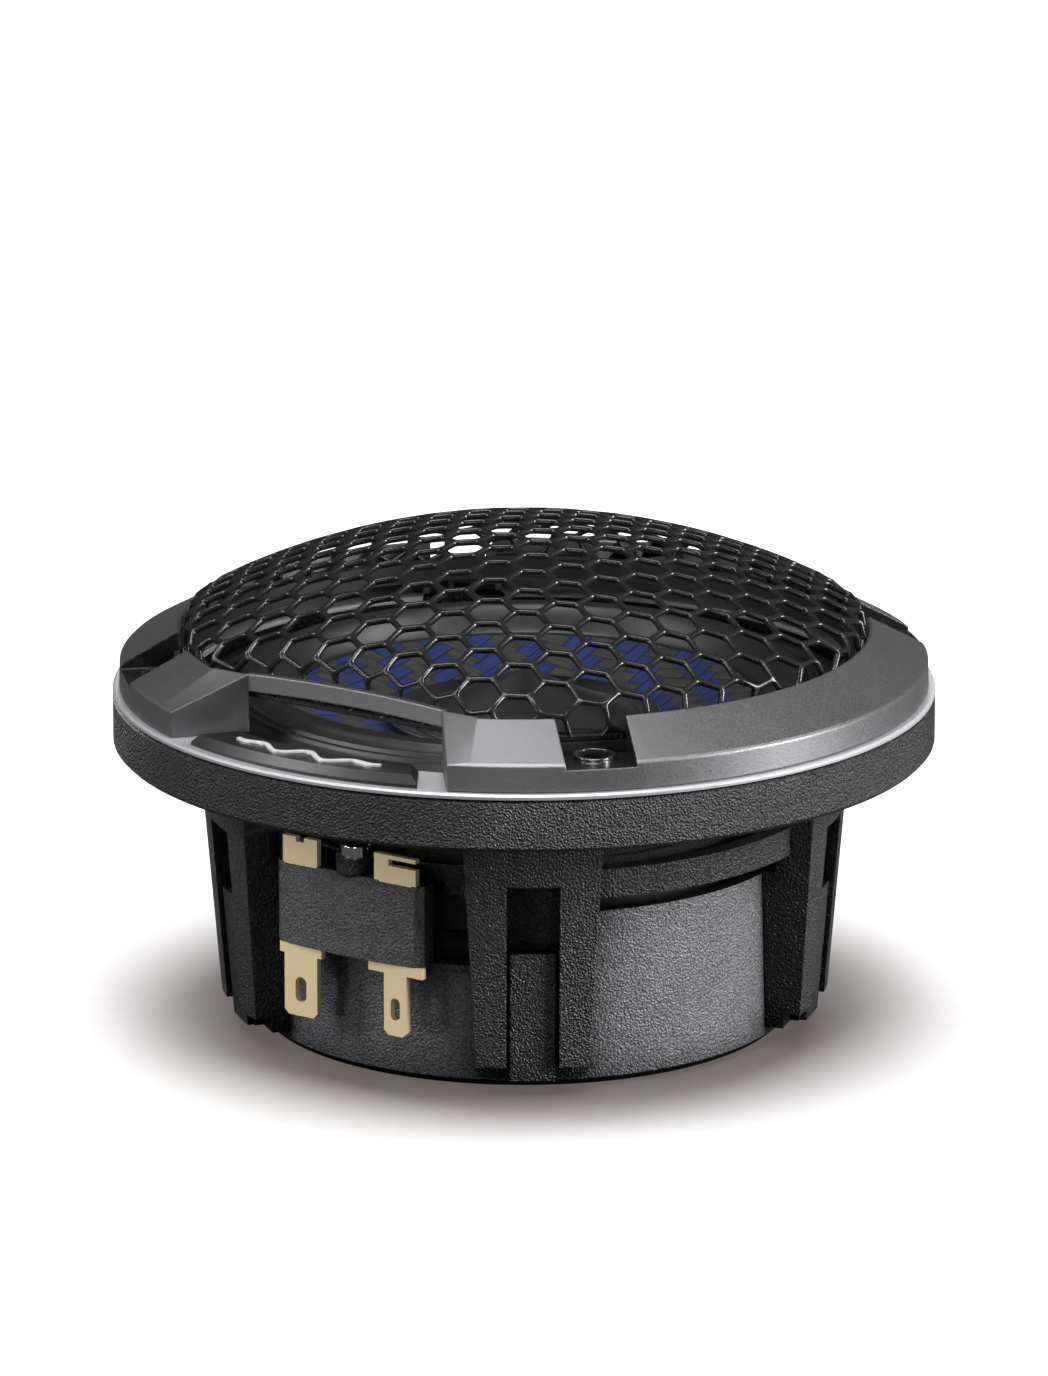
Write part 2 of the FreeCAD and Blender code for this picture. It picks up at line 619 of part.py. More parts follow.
def make_terminal_screw():
    head = Part.makeCylinder(1.8, 1.7, V(0, -35.4, SHELF_TOP_Z))
    rim = [edge for edge in head.Edges if abs(edge.BoundBox.ZMin - head.BoundBox.ZMax) < 0.01]
    head = head.makeFillet(0.4, rim)
    shank = Part.makeCylinder(1.0, 6.0, V(0, -35.4, SHELF_TOP_Z - 5.9))
    slot = Part.makeBox(4, 0.5, 0.7, V(-2, -35.65, SHELF_TOP_Z + 1.1))
    return head.fuse(shank).removeSplitter().cut(slot)


def frame_outside():
    """Outer line of the frame's section, from its foot over the wall to the lip."""
    return [
        (FRAME_R - 0.15, FRAME_FOOT), (FRAME_R, FRAME_FOOT + 0.2), (FRAME_R - 0.1, FRAME_WALL_TOP - 0.3),
        (FRAME_SHOULDER_R, FRAME_WALL_TOP), (FRAME_LIP_R, FRAME_TOP), (FRAME_IN_R, FRAME_TOP - 0.15)]


def frame_section():
    wall = 1.7
    underside = [
        (FRAME_IN_R, FRAME_TOP - 2.2), (FRAME_LIP_R + 0.6, FRAME_TOP - 2.4),
        (FRAME_R - wall, FRAME_WALL_TOP - 1.6), (FRAME_R - wall, FRAME_FOOT)]
    return frame_outside() + underside


def facet_above(side, drop):
    """Everything above the sloping facet beside the badge window, lowered by drop."""
    crease_top = polar(FRAME_LIP_R, side * WINDOW_ANGLE, FRAME_TOP)
    crease_low = polar(FRAME_SHOULDER_R, side * WINDOW_ANGLE, FRAME_WALL_TOP)
    inner = V(side * WINDOW_IN_X, WINDOW_IN_Y, BAR_END_TOP)
    outer = V(side * WINDOW_OUT[0], WINDOW_OUT[1], WINDOW_OUT_TOP)
    reach = 0.25
    down = (crease_low - crease_top) * reach
    crease = [crease_top - down, crease_low + down]
    down = (outer - inner) * reach
    edge = [inner - down, outer + down]
    far = [edge[i] + (edge[i] - crease[i]) * reach for i in (0, 1)]
    if drop:
        crease = [crease[i] - (edge[i] - crease[i]) * reach for i in (0, 1)]
    lines = [Part.makeLine(crease[0], crease[1]), Part.makeLine(far[0], far[1])]
    facet = Part.makeRuledSurface(lines[0], lines[1])
    facet.translate(V(0, 0, -drop))
    return facet.extrude(V(0, 0, 12))


def make_cheek(side):
    """Hollow block that closes the frame at one end of the badge window."""
    start = side * WINDOW_ANGLE
    inner = (side * WINDOW_IN_X, WINDOW_IN_Y)
    outer = (side * (WINDOW_OUT[0] + 1.2), WINDOW_OUT[1] - 1.5)
    crease_in = polar(-WINDOW_IN_Y / math.cos(math.radians(WINDOW_ANGLE)), start)
    crease_out = polar(FRAME_R + 2, start)
    outline = [(crease_in.x, crease_in.y), inner, outer, (crease_out.x, crease_out.y)]
    slope = (FRAME_TOP - FRAME_WALL_TOP) / (FRAME_SHOULDER_R - FRAME_LIP_R)
    middle_z = FRAME_WALL_TOP + slope * (FRAME_SHOULDER_R - 30)
    envelope = revolved([(30, FRAME_FOOT)] + frame_outside()[:4] + [(30, middle_z)])
    cheek = prism(outline, FRAME_FOOT, FRAME_TOP + 5).common(envelope)
    cheek = cheek.cut(facet_above(side, 0))
    hollow_in = polar(-WINDOW_IN_Y / math.cos(math.radians(WINDOW_ANGLE)) + CHEEK_T, start)
    hollow_out = polar(FRAME_R - 1.7, start)
    hollow = prism([
        (hollow_in.x + side, hollow_in.y), (side * (WINDOW_IN_X + 2.9), WINDOW_IN_Y - CHEEK_T),
        (side * (WINDOW_OUT[0] + 0.2), WINDOW_OUT[1] + 1.9), (hollow_out.x + side, hollow_out.y)],
        FRAME_FOOT - 1, FRAME_TOP + 5)
    return cheek.cut(hollow.cut(facet_above(side, CHEEK_T)))


def make_bar():
    """Straight arched bar across the top of the badge window."""
    half = WINDOW_IN_X + 0.4
    low = BAR_END_TOP - BAR_H
    y = WINDOW_IN_Y
    top = Part.Arc(V(-half, y, BAR_END_TOP), V(0, y, BAR_END_TOP + BAR_ARCH), V(half, y, BAR_END_TOP))
    bottom = Part.Arc(V(half, y, low), V(0, y, low + BAR_ARCH), V(-half, y, low))
    right = Part.makeLine(V(half, y, BAR_END_TOP), V(half, y, low))
    left = Part.makeLine(V(-half, y, low), V(-half, y, BAR_END_TOP))
    face = Part.Face(Part.Wire([top.toShape(), right, bottom.toShape(), left]))
    return face.extrude(V(0, BAR_T, 0))


def make_grille_frame():
    frame = revolved(frame_section())
    left = polar(80, -WINDOW_ANGLE)
    right = polar(80, WINDOW_ANGLE)
    frame = frame.cut(prism([(0, 0), (left.x, left.y), (right.x, right.y)], 0, 30))
    slab_in = FRAME_IN_R + 0.6
    envelope = revolved([(slab_in, FRAME_FOOT)] + frame_outside()[:5] + [(slab_in, FRAME_TOP - 0.5)])
    notch = Part.makeBox(2 * NOTCH_HALF, 14, 12, V(-NOTCH_HALF, -52, NOTCH_FLOOR))
    boss = Part.makeBox(2 * NOTCH_HALF, 5.1, NOTCH_FLOOR - FRAME_FOOT, V(-NOTCH_HALF, -47.6, FRAME_FOOT))
    hole = Part.makeCylinder(EAR_HOLE_R, 12, V(0, -EAR_PCD_R, FLANGE_T))
    collar = Part.makeCylinder(COLLAR_R, COLLAR_H + 1, V(0, -EAR_PCD_R, NOTCH_FLOOR - 1))
    parts = [frame]
    for angle in EAR_ANGLES:
        for x in (-NOTCH_HALF - NOTCH_WALL, NOTCH_HALF):
            slab = Part.makeBox(NOTCH_WALL, 12, 20, V(x, -52, 0))
            parts.append(turned(slab, angle).common(envelope))
    frame = fused(parts)
    for angle in EAR_ANGLES:
        frame = frame.cut(turned(notch, angle))
    frame = fused([frame] + [turned(boss.fuse(collar), angle) for angle in EAR_ANGLES])
    for angle in EAR_ANGLES:
        frame = frame.cut(turned(hole, angle))
    return fused([frame, make_cheek(-1), make_cheek(1), make_bar()])


def make_mesh_retainer():
    gap_half = 29.5
    seat_r = MESH_R - MESH_T - 0.1
    return revolved([
        (MESH_R - 2.2, MESH_SKIRT_Z - 1.6), (MESH_R + 0.2, MESH_SKIRT_Z - 1.6),
        (MESH_R + 0.2, MESH_SKIRT_Z - 0.05), (seat_r, MESH_SKIRT_Z - 0.05),
        (seat_r, MESH_SKIRT_Z + 1.0), (MESH_R - 2.2, MESH_SKIRT_Z + 1.0)], gap_half, 360 - 2 * gap_half)


def dome_shell():
    """Round cap with a rounded shoulder, a short skirt and a flat front."""
    ball_r = (MESH_R ** 2 + MESH_RISE ** 2) / (2 * MESH_RISE)
    ball_z = MESH_RIM_Z + MESH_RISE - ball_r

    def front(inset):
        return Part.makeBox(100, 20, 60, V(-50, MESH_FLAT_Y + inset - 20, MESH_SKIRT_Z - 10))

    def cap(inset, shoulder, low):
        ball = Part.makeSphere(ball_r - inset, V(0, 0, ball_z))
        post = Part.makeCylinder(MESH_R - inset, 40, V(0, 0, low))
        body = ball.common(post)
        rim = []
        for edge in body.Edges:
            if edge.BoundBox.ZMin > MESH_SKIRT_Z + 1 and edge.BoundBox.ZLength < 0.01:
                rim.append(edge)
        return body.makeFillet(shoulder, rim).cut(front(inset))

    outer = cap(0, MESH_SHOULDER, MESH_SKIRT_Z)
    inner = cap(MESH_T, MESH_SHOULDER - 0.5, MESH_SKIRT_Z - 1)
    return outer.cut(inner)


def hex_prism(x, y, flat_half):
    corner = flat_half / math.cos(math.radians(30))
    points = []
    for k in range(6):
        a = math.radians(60 * k + 30)
        points.append((x + corner * math.cos(a), y + corner * math.sin(a)))
    return prism(points, MESH_RIM_Z - 2.5, MESH_RIM_Z + MESH_RISE + 3)


def make_grille_mesh():
    shell = dome_shell()
    row_step = HEX_PITCH * math.cos(math.radians(30))
    limit = MESH_R - 1.6
    flat_half = (HEX_PITCH - HEX_WEB) / 2
    holes = []
    rows = int(limit / row_step) + 1
    for row in range(-rows, rows + 1):
        shift = 0.5 if row % 2 == 0 else 0.0
        for column in range(-rows - 1, rows + 2):
            x = (column + shift) * HEX_PITCH
            y = row * row_step
            inside_flat = y - flat_half * 1.15 > MESH_FLAT_Y + MESH_SHOULDER
            if inside_flat and math.hypot(x, y) + flat_half * 1.15 < limit:
                holes.append(hex_prism(x, y, flat_half))
    return shell.cut(Part.makeCompound(holes))


def export(name, shape):
    """Write one closed solid, or one group of separate solids, as a STEP file."""
    solids = shape if isinstance(shape, list) else shape.Solids
    body = solids[0] if len(solids) == 1 else Part.makeCompound(solids)
    body.exportStep("parts/" + name + ".step")


os.makedirs("parts", exist_ok=True)

export("basket", make_basket())
export("motor_cover", make_motor_cover())
export("cover_screws", make_cover_screws())
export("top_plate", make_top_plate())
export("magnet", make_magnet())
export("t_yoke", make_t_yoke())
export("shorting_sleeve", make_shorting_sleeve())
export("motor_screws", make_motor_screws())
export("trim_ring", make_trim_ring())
export("badge", make_badge())
export("badge_emblem", make_badge_emblem())
export("surround_clamp_ring", make_clamp_ring())
export("surround", make_surround())
export("cone", make_cone())
export("dust_cap_ring", make_cap_ring())
export("dust_cap", make_cap_cone())
export("voice_coil_former", make_former())
export("voice_coil_winding", make_winding())
export("spider", make_spider())
export("lead_positive", make_lead(-1))
export("lead_negative", make_lead(1))
export("terminal_block", make_terminal_block())
export("terminal_tab_positive", make_tab(-1))
export("terminal_tab_negative", make_tab(1))
export("terminal_screw", make_terminal_screw())
export("grille_frame", make_grille_frame())
export("mesh_retainer", make_mesh_retainer())
export("grille_mesh", make_grille_mesh())
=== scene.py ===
import math

import bmesh
import bpy
import numpy as np
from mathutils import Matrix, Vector


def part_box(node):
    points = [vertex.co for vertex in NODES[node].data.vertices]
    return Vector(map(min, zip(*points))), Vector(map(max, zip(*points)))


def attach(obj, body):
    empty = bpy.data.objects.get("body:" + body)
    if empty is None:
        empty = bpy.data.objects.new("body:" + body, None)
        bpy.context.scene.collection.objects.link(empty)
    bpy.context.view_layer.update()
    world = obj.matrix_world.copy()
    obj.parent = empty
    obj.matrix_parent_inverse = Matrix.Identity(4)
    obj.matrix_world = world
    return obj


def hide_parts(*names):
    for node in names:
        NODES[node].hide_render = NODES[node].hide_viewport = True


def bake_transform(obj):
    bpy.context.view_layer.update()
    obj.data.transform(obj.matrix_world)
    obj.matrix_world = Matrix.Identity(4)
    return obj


# A car midrange speaker lying on its back, with its grille on. Metres, +Z to the listener,
# origin at the middle of the flange's back, badge towards -Y.

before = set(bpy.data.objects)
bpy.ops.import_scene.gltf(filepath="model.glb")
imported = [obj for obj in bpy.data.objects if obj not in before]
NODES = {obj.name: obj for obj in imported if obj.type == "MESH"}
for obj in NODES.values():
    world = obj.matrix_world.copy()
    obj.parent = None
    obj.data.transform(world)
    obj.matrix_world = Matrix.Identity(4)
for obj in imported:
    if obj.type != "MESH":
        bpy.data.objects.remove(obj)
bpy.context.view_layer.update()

MM = 0.001


def corners(node):
    """Lowest and highest corner of a CAD node, in millimetres."""
    low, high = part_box(node)
    return low / MM, high / MM


# ---------------------------------------------------------------- sizes taken from the frame
BASE_Z = corners("motor_cover")[0].z
MESH_R = corners("grille_mesh")[1].x
MESH_APEX = corners("grille_mesh")[1].z
MESH_LOW = corners("grille_mesh")[0].z
CONE_EDGE_R = 28.5
CONE_EDGE_Z = corners("cone")[1].z
CAP_R = corners("dust_cap")[1].x
CAP_TIP_Z = corners("dust_cap")[1].z
COIL_R = corners("voice_coil_former")[1].x
SURROUND_R = corners("surround")[1].x
SPIDER_R = corners("spider")[1].x
SPIDER_TOP = corners("spider")[1].z


# ---------------------------------------------------------------- mesh helpers
def new_object(name, mesh):
    obj = bpy.data.objects.new(name, mesh)
    bpy.context.scene.collection.objects.link(obj)
    return obj


def mesh_object(name, points, faces, sharp_angle=None):
    """Mesh piece from points in millimetres."""
    mesh = bpy.data.meshes.new(name)
    mesh.from_pydata([tuple(c * MM for c in p) for p in points], [], faces)
    mesh.validate()
    mesh.update()
    mesh.shade_smooth()
    if sharp_angle:
        mesh.set_sharp_from_angle(angle=math.radians(sharp_angle))
    return new_object(name, mesh)


def lathe(name, profile, segments=240, closed=True, sharp_angle=35, shift=None):
    """Turn (r, z) points about Z. Points on the axis become one vertex.

    shift(angle) moves the outline in or out, with the angle taken from the badge.
    """
    points = []
    rings = []
    for r, z in profile:
        if r < 1e-6:
            rings.append([len(points)])
            points.append((0, 0, z))
            continue
        ids = []
        for k in range(segments):
            a = 2 * math.pi * k / segments
            ids.append(len(points))
            at = r + (shift(a) if shift else 0.0)
            points.append((at * math.sin(a), -at * math.cos(a), z))
        rings.append(ids)
    pairs = list(zip(rings, rings[1:]))
    if closed:
        pairs.append((rings[-1], rings[0]))
    faces = []
    for a, b in pairs:
        for k in range(segments):
            n = (k + 1) % segments
            corner = [a[k % len(a)], a[n % len(a)], b[n % len(b)], b[k % len(b)]]
            face = []
            for v in corner:
                if v not in face:
                    face.append(v)
            if len(face) > 2:
                faces.append(face)
    obj = mesh_object(name, points, faces)
    fix_normals(obj)
    obj.data.set_sharp_from_angle(angle=math.radians(sharp_angle))
    return obj


def fix_normals(obj):
    bm = bmesh.new()
    bm.from_mesh(obj.data)
    bmesh.ops.recalc_face_normals(bm, faces=bm.faces)
    bm.to_mesh(obj.data)
    bm.free()
    obj.data.shade_smooth()


def blend_by(obj):
    """Bake obj's placement into its mesh."""
    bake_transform(obj)


def blend_radially(obj):
    blend_by(obj)


# ---------------------------------------------------------------- material helpers
class Nodes:
    """Short names for building one material's node tree."""

    def __init__(self, name):
        self.material = bpy.data.materials.new(name)
        self.material.use_nodes = True
        self.tree = self.material.node_tree
        self.shader = self.tree.nodes["Principled BSDF"]
        coordinates = self.tree.nodes.new("ShaderNodeTexCoord")
        self.place = coordinates.outputs["Object"]

    def add(self, kind, **inputs):
        node = self.tree.nodes.new(kind)
        for key, value in inputs.items():
            self.feed(node.inputs[key.replace("_", " ")], value)
        return node

    def feed(self, socket, value):
        if isinstance(value, bpy.types.NodeSocket):
            self.tree.links.new(value, socket)
        else:
            socket.default_value = value

    def math(self, operation, a, b=0.0, c=0.0):
        node = self.tree.nodes.new("ShaderNodeMath")
        node.operation = operation
        for socket, value in zip(node.inputs, (a, b, c)):
            self.feed(socket, value)
        return node.outputs[0]

    def xyz(self):
        split = self.tree.nodes.new("ShaderNodeSeparateXYZ")
        self.tree.links.new(self.place, split.inputs[0])
        return split.outputs

    def radius(self):
        """Distance from the Z axis."""
        x, y, z = self.xyz()
        return self.math("SQRT", self.math("ADD", self.math("MULTIPLY", x, x), self.math("MULTIPLY", y, y)))

    def combine(self, x, y, z=0.0):
        node = self.tree.nodes.new("ShaderNodeCombineXYZ")
        for socket, value in zip(node.inputs, (x, y, z)):
            self.feed(socket, value)
        return node.outputs[0]

    def noise(self, scale, detail=3.0, rough=0.5, at=None):
        node = self.add("ShaderNodeTexNoise", Scale=scale, Detail=detail, Roughness=rough)
        self.tree.links.new(at or self.place, node.inputs["Vector"])
        return node.outputs["Fac"]

    def cells(self, scale, at=None):
        node = self.add("ShaderNodeTexVoronoi", Scale=scale)
        self.tree.links.new(at or self.place, node.inputs["Vector"])
        return node.outputs["Distance"]

    def remap(self, value, low, high, out_low, out_high):
        node = self.add("ShaderNodeMapRange", Value=value)
        limits = {"From Min": low, "From Max": high, "To Min": out_low, "To Max": out_high}
        for key, number in limits.items():
            node.inputs[key].default_value = number
        return node.outputs["Result"]

    def mix(self, share, a, b):
        node = self.tree.nodes.new("ShaderNodeMix")
        node.data_type = "RGBA"
        self.feed(node.inputs[0], share)
        for socket, colour in ((node.inputs[6], a), (node.inputs[7], b)):
            self.feed(socket, (*colour, 1) if isinstance(colour, tuple) else colour)
        return node.outputs[2]

    def bump(self, height, distance_mm, edge_mm=0.0):
        """Surface relief, with the hard edges rounded off by edge_mm."""
        node = self.add("ShaderNodeBump", Height=height, Distance=distance_mm * MM)
        if edge_mm:
            edge = self.add("ShaderNodeBevel", Radius=edge_mm * MM)
            edge.samples = 4
            self.tree.links.new(edge.outputs["Normal"], node.inputs["Normal"])
        return node.outputs["Normal"]

    def painted_recess_shade(self, distance_mm):
        """Painted shade: 1 on open faces, falling towards 0 deep in recesses."""
        node = self.add("ShaderNodeAmbientOcclusion", Distance=distance_mm * MM)
        node.samples = 6
        return self.remap(node.outputs["AO"], 0.35, 0.85, 0.08, 1.0)

    def finish(self, **inputs):
        for key, value in inputs.items():
            if isinstance(value, tuple):
                value = (*value, 1)
            self.feed(self.shader.inputs[key.replace("_", " ")], value)
        return self.material


# reach of the painted shade that darkens the recesses of the pebbled plastic
PAINTED_SHADE_REACH_MM = 7.0


def pebbled_plastic(name, colour, grain_mm, depth_mm, roughness=0.5, edge_mm=0.2):
    """Moulded plastic with a pebbled skin, its colour and shine darkened in recesses by painted shade."""
    n = Nodes(name)
    scale = 1 / (grain_mm * MM)
    grain = n.noise(scale, 2.0, 0.55)
    stones = n.cells(scale * 0.9)
    height = n.math("MULTIPLY_ADD", stones, -0.55, grain)
    dust = n.noise(scale * 0.06, 4.0)
    tone = n.remap(height, 0.0, 0.55, 0.35, 1.6)
    base = n.mix(n.remap(dust, 0.35, 0.7, 0, 1), colour, scaled(colour, 1.3))
    # painted shade: colour and specular fall off deep in recesses (ambient occlusion)
    painted_shade_factor = n.painted_recess_shade(PAINTED_SHADE_REACH_MM)
    shade = n.tree.nodes.new("ShaderNodeVectorMath")
    shade.operation = "SCALE"
    n.feed(shade.inputs[0], base)
    n.feed(shade.inputs["Scale"], n.math("MULTIPLY", tone, painted_shade_factor))
    rough = n.remap(height, 0.0, 0.55, roughness + 0.12, roughness - 0.08)
    normal = n.bump(height, depth_mm, edge_mm)
    return n.finish(Base_Color=shade.outputs[0], Roughness=rough, Normal=normal,
                    Specular_IOR_Level=n.math("MULTIPLY", painted_shade_factor, 0.5))


def fine_metal(name, colour, roughness, metallic=1.0, grain_mm=0.2, depth_mm=0.004, patch=0.06,
               edge_mm=0.12):
    """Satin metal or metallic paint with a fine grain and slow tone changes."""
    n = Nodes(name)
    lit, rough, normal = metal_parts(n, colour, roughness, grain_mm, depth_mm, patch, edge_mm)
    return n.finish(Base_Color=lit, Roughness=rough, Metallic=metallic, Normal=normal)


def scaled(colour, factor):
    return tuple(min(1, c * factor) for c in colour)


def metal_parts(n, colour, roughness, grain_mm, depth_mm, patch, edge_mm):
    """Colour, roughness and relief that the satin metals share."""
    speck = n.noise(1 / (grain_mm * MM), 2.0)
    cloud = n.noise(55, 3.0)
    fine = n.remap(speck, 0.3, 0.7, -patch, patch)
    slow = n.remap(cloud, 0.3, 0.7, -patch, patch)
    tone = n.math("ADD", fine, slow)
    lit = n.mix(n.math("ADD", tone, 0.5), scaled(colour, 0.7), scaled(colour, 1.3))
    rough = n.math("ADD", n.remap(speck, 0.3, 0.7, -0.05, 0.05), roughness)
    return lit, rough, n.bump(speck, depth_mm, edge_mm)


EAR_PCD_R = 44.35
COLLAR_R = 2.53
NOTCH_HALF = 4.23
NOTCH_BACK_R = 48.9


def grille_paint(name):
    """Grained gunmetal paint, turned near-black inside the four screw notches as painted shade of the
    recess, with bare collars there.
    """
    n = Nodes(name)
    lit, rough, normal = metal_parts(n, (0.17, 0.17, 0.175), 0.43, 0.22, 0.010, 0.12, 0.3)
    # fold the four notches on to one, with its own directions across and along
    x, y, z = n.xyz()
    x = n.math("ABSOLUTE", x)
    y = n.math("ABSOLUTE", y)
    across = n.math("ABSOLUTE", n.math("DIVIDE", n.math("SUBTRACT", x, y), math.sqrt(2)))
    along = n.math("DIVIDE", n.math("ADD", x, y), math.sqrt(2))
    inside = n.math("LESS_THAN", across, NOTCH_HALF * MM)
    behind = n.math("LESS_THAN", along, NOTCH_BACK_R * MM)
    notch = n.math("MULTIPLY", inside, behind)
    off_hole = n.math("SUBTRACT", along, EAR_PCD_R * MM)
    square = n.math("ADD", n.math("POWER", across, 2.0), n.math("POWER", off_hole, 2.0))
    from_hole = n.math("SQRT", square)
    collar = n.math("LESS_THAN", from_hole, COLLAR_R * MM)
    # painted shade: inside the notches the colour goes near-black and non-metallic, standing in for the
    # shaded recess
    colour = n.mix(notch, lit, (0.008, 0.008, 0.008))
    colour = n.mix(collar, colour, (0.16, 0.16, 0.165))
    black = n.math("MULTIPLY", notch, n.math("SUBTRACT", 1.0, collar))
    metallic = n.math("SUBTRACT", 0.9, n.math("MULTIPLY", black, 0.9))
    rough = n.math("SUBTRACT", rough, n.math("MULTIPLY", notch, 0.2))
    return n.finish(Base_Color=colour, Roughness=rough, Metallic=metallic, Normal=normal)


def spun_metal(name, colour, roughness, pitch_mm, groove_mm, metallic=1.0, anisotropy=0.7, edge_mm=0.1):
    """Metal turned on a lathe: fine rings about Z."""
    n = Nodes(name)
    radius = n.radius()
    rings = n.math("SINE", n.math("MULTIPLY", radius, 2 * math.pi / (pitch_mm * MM)))
    streaks = n.noise(1.0, 3.0, 0.6, n.combine(n.math("MULTIPLY", radius, 2600), 0.0))
    lit = n.mix(streaks, scaled(colour, 0.75), scaled(colour, 1.25))
    normal = n.bump(rings, groove_mm, edge_mm)
    tangent = n.tree.nodes.new("ShaderNodeTangent")
    tangent.direction_type = "RADIAL"
    tangent.axis = "Z"
    n.feed(n.shader.inputs["Tangent"], tangent.outputs[0])
    return n.finish(Base_Color=lit, Roughness=roughness, Metallic=metallic, Normal=normal,
                    Anisotropic=anisotropy)


def rubber(name, colour, roughness=0.55, grain_mm=0.26, depth_mm=0.012, edge_mm=0.0):
    n = Nodes(name)
    speck = n.noise(1 / (grain_mm * MM), 2.0)
    cloud = n.noise(60, 2.0)
    lit = n.mix(n.remap(cloud, 0.35, 0.65, 0, 1), colour, scaled(colour, 1.3))
    rough = n.remap(speck, 0.3, 0.7, roughness - 0.06, roughness + 0.06)
    return n.finish(Base_Color=lit, Roughness=rough, Normal=n.bump(speck, depth_mm, edge_mm))


TOW_MM = 2.115
TOW_START_X = 0.18
TOW_START_Y = -16.6
FIBRES_PER_TOW = 9


def twill(name):
    """Blue tows along Y over grey tows along X, each over two and under two."""
    n = Nodes(name)
    x, y, z = n.xyz()
    u = n.math("DIVIDE", n.math("SUBTRACT", x, TOW_START_X * MM), TOW_MM * MM)
    v = n.math("DIVIDE", n.math("SUBTRACT", y, TOW_START_Y * MM), TOW_MM * MM)
    step = n.math("ADD", n.math("FLOOR", u), n.math("FLOOR", v))
    phase = n.math("FLOORED_MODULO", step, 4.0)
    blue_on = n.math("GREATER_THAN", phase, 1.5)
    across_blue = n.math("FRACT", u)
    across_grey = n.math("FRACT", v)
    along_blue = n.math("DIVIDE", n.math("ADD", across_grey, n.math("SUBTRACT", phase, 2.0)), 2.0)
    along_grey = n.math("DIVIDE", n.math("ADD", across_blue, phase), 2.0)

    grey_on = n.math("SUBTRACT", 1.0, blue_on)

    def pick(a, b):
        return n.math("ADD", n.math("MULTIPLY", blue_on, a), n.math("MULTIPLY", grey_on, b))

    across = pick(across_blue, across_grey)
    along = pick(along_blue, along_grey)

    def from_border(share):
        return n.math("SUBTRACT", 0.5, n.math("ABSOLUTE", n.math("SUBTRACT", share, 0.5)))

    edge = n.math("MINIMUM", from_border(across), n.math("MULTIPLY", from_border(along), 2.0))
    body = n.remap(edge, 0.0, 0.07, 0.0, 1.0)

    def fibres(over, along_tow, layer):
        at = n.combine(n.math("MULTIPLY", over, FIBRES_PER_TOW), n.math("MULTIPLY", along_tow, 0.35), layer)
        return n.noise(1.0, 3.0, 0.7, at)

    fibre = pick(fibres(u, v, 0.0), fibres(v, u, 4.0))
    streak = n.remap(fibre, 0.3, 0.7, 0.0, 1.0)
    blue = n.mix(streak, (0.014, 0.020, 0.085), (0.055, 0.085, 0.27))
    grey = n.mix(streak, (0.022, 0.021, 0.019), (0.115, 0.112, 0.105))
    tow = n.mix(blue_on, grey, blue)
    lit = n.mix(body, (0.006, 0.006, 0.008), tow)
    height = n.math("ADD", n.math("MULTIPLY", body, 0.6), n.math("MULTIPLY", fibre, 0.4))
    return n.finish(Base_Color=lit, Roughness=0.38, Metallic=0.55, Coat_Weight=0.25,
                    Coat_Roughness=0.12, Normal=n.bump(height, 0.05))


def cloth(name, colour, thread_mm=0.45):
    """Coarse woven cloth stiffened with resin."""
    n = Nodes(name)
    x, y, z = n.xyz()
    k = 2 * math.pi / (thread_mm * MM)
    warp = n.math("SINE", n.math("MULTIPLY", x, k))
    weft = n.math("SINE", n.math("MULTIPLY", y, k))
    height = n.math("MULTIPLY", warp, weft)
    lit = n.mix(n.remap(height, -1, 1, 0, 1), scaled(colour, 0.6), colour)
    return n.finish(Base_Color=lit, Roughness=0.75, Normal=n.bump(height, 0.05))


def wound_copper(name):
    n = Nodes(name)
    x, y, z = n.xyz()
    turns = n.math("SINE", n.math("MULTIPLY", z, 2 * math.pi / (0.22 * MM)))
    lit = n.mix(n.remap(turns, -1, 1, 0, 1), (0.25, 0.09, 0.04), (0.75, 0.34, 0.18))
    return n.finish(Base_Color=lit, Roughness=0.3, Metallic=0.9, Normal=n.bump(turns, 0.05))


